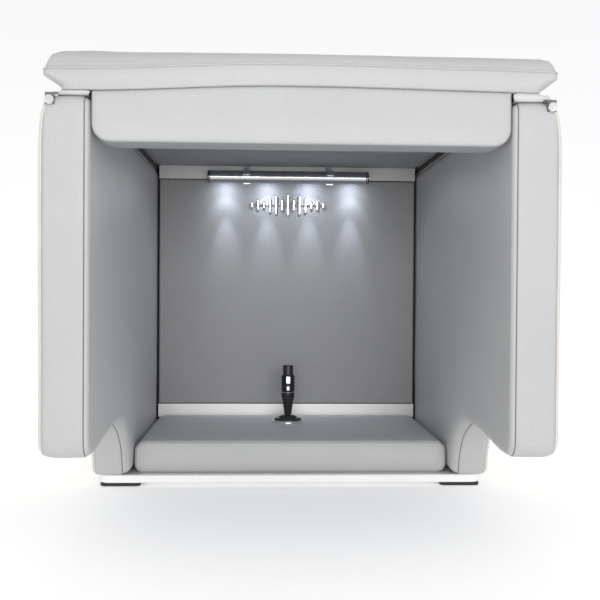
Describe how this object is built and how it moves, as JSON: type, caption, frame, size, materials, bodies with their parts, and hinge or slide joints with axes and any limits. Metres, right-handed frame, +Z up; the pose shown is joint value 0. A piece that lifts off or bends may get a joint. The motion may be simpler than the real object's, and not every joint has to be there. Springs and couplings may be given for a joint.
{
  "type": "microphone isolation shield",
  "caption": "Padded desktop vocal booth with projecting side wings, lift-off lid with front valance, clip-in tube lamp and a microphone connector in its cushioned floor.",
  "frame": {"origin": "centre of the footprint of the bounding box, at table height (underside of the feet)", "axes": "+Z up, -Y out of the open front towards the singer, +X to the right seen from the front"},
  "size_m": [0.497, 0.579, 0.475],
  "materials": {
    "grey_leatherette": "soft grain, satin",
    "pale_leatherette": "soft grain, satin",
    "woven_panel": "diagonal weave, matt",
    "lining_cloth": "plain felt, matt",
    "plywood": "sanded birch plywood",
    "white_laminate": "smooth white laminate",
    "black_rubber": "matt",
    "brushed_aluminium": "brushed lengthwise",
    "lamp_aluminium": "satin anodised",
    "chrome": "polished",
    "steel": "bright zinc",
    "black_plastic": "moulded, fine texture",
    "black_metal": "satin black coat",
    "frosted_diffuser": "translucent, frosted",
    "led_lens": "clear epoxy, lit cool white",
    "circuit_board": "white solder mask",
    "cell_wrap": "plain sleeve"
  },
  "bodies": {
    "shield": {"base_plate": "white_laminate", "foot_front_l": "black_rubber", "foot_front_r": "black_rubber", "foot_rear_l": "black_rubber", "foot_rear_r": "black_rubber", "panel_screw_l1": "steel", "panel_screw_l2": "steel", "panel_screw_r1": "steel", "panel_screw_r2": "steel", "floor_cushion": "grey_leatherette", "side_pad_l": "grey_leatherette", "side_pad_r": "grey_leatherette", "side_board_l": "plywood", "side_board_r": "plywood", "side_cover_l": "pale_leatherette", "side_cover_r": "pale_leatherette", "back_board": "plywood", "back_absorber": "woven_panel", "back_cover": "pale_leatherette", "strip_upper": "brushed_aluminium", "strip_lower": "brushed_aluminium", "emblem": "chrome", "clip_l": "steel", "clip_r": "steel", "clip_screw_l": "steel", "clip_screw_r": "steel", "mic_flange": "black_plastic", "mic_rim": "chrome", "mic_grommet": "black_rubber", "connector_boot": "black_rubber", "connector_shell": "black_metal", "connector_insert": "black_plastic", "lead": "black_rubber", "outlet_shell": "black_metal", "outlet_insert": "black_plastic"},
    "lid": {"lid_cover": "grey_leatherette", "lid_board": "plywood", "lid_lining": "lining_cloth", "lid_lip": "pale_leatherette", "valance_pad": "grey_leatherette", "valance_batten": "plywood", "lid_tab_l": "chrome", "lid_tab_r": "chrome"},
    "lamp": {"lamp_body": "lamp_aluminium", "lamp_diffuser": "frosted_diffuser", "lamp_circuit": "circuit_board", "lamp_cell": "cell_wrap", "led_1": "led_lens", "led_2": "led_lens", "led_3": "led_lens", "led_4": "led_lens", "lamp_cap_l": "black_plastic", "lamp_cap_r": "black_plastic"},
    "thumb_screw_left": {"thumb_screw_l": "chrome"},
    "thumb_screw_right": {"thumb_screw_r": "chrome"},
    "lamp_switch": {"lamp_button": "steel"},
    "latch": {"connector_latch": "steel"}
  },
  "joints": [
    {"name": "lid_lift", "type": "slide", "parent": "shield", "child": "lid", "axis": [0, 0, 1], "range_m": [0, 0.12]},
    {"name": "thumb_screw_left_turn", "type": "hinge", "parent": "shield", "child": "thumb_screw_left", "pos_m": [-0.2365, -0.28, 0.4228], "axis": [0, -1, 0], "continuous": true},
    {"name": "thumb_screw_right_turn", "type": "hinge", "parent": "shield", "child": "thumb_screw_right", "pos_m": [0.2365, -0.28, 0.4228], "axis": [0, -1, 0], "continuous": true},
    {"name": "lamp_tilt", "type": "hinge", "parent": "shield", "child": "lamp", "pos_m": [0, 0.21, 0.4175], "axis": [1, 0, 0], "range_deg": [-35, 35]},
    {"name": "lamp_button_push", "type": "slide", "parent": "lamp", "child": "lamp_switch", "axis": [-1, 0, 0], "range_m": [0, 0.001], "stiffness_N_per_m": 800, "springref_m": -0.001},
    {"name": "latch_push", "type": "slide", "parent": "shield", "child": "latch", "axis": [0, 1, 0], "range_m": [0, 0.0007], "stiffness_N_per_m": 1500, "springref_m": -0.0007}
  ]
}
